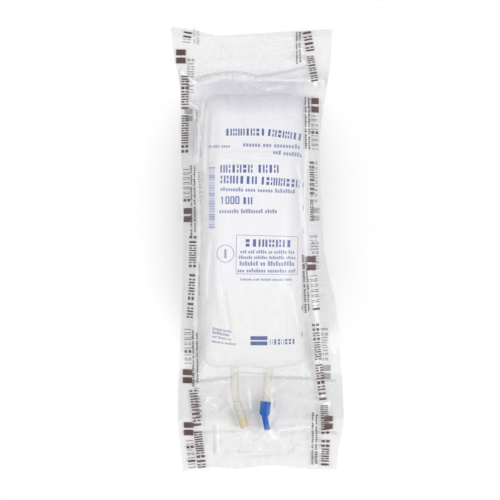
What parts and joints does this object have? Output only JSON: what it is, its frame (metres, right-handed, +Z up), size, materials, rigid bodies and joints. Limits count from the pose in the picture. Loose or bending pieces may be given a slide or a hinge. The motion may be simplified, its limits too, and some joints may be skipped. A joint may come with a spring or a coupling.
{
  "type": "iv fluid bag",
  "caption": "Filled IV fluid bag with a hanging flap, an injection port and a capped spike port, lying on its back in its sealed clear overwrap.",
  "frame": {"origin": "on the surface the pack rests on, under the middle of the pack", "axes": "+Y from the ports towards the hanging end, +Z up out of the surface, +X to the right seen from above with the hanging end at the top"},
  "size_m": [0.1726, 0.444, 0.0578],
  "materials": {
    "overwrap_film": "clear crinkled film with a soft gloss",
    "bag_film": "translucent soft film, slightly frosted",
    "saline": "clear water-like liquid",
    "port_tube": "clear soft tube",
    "port_sleeve": "clear, faintly yellow plastic",
    "septum_rubber": "cream rubber, satin",
    "cap_plastic": "moulded blue plastic, satin"
  },
  "bodies": {
    "pack": {"overwrap": "overwrap_film", "bag_film": "bag_film", "saline_fill": "saline", "injection_port_tube": "port_tube", "injection_port_sleeve": "port_sleeve", "injection_port_septum": "septum_rubber", "spike_port_tube": "port_tube", "spike_port_membrane": "port_sleeve"},
    "spike_cap": {"spike_port_cap": "cap_plastic"}
  },
  "joints": [
    {"name": "spike_cap_pull", "type": "slide", "parent": "pack", "child": "spike_cap", "axis": [-0.0976, -0.9952, 0], "range_m": [0, 0.0125]}
  ]
}
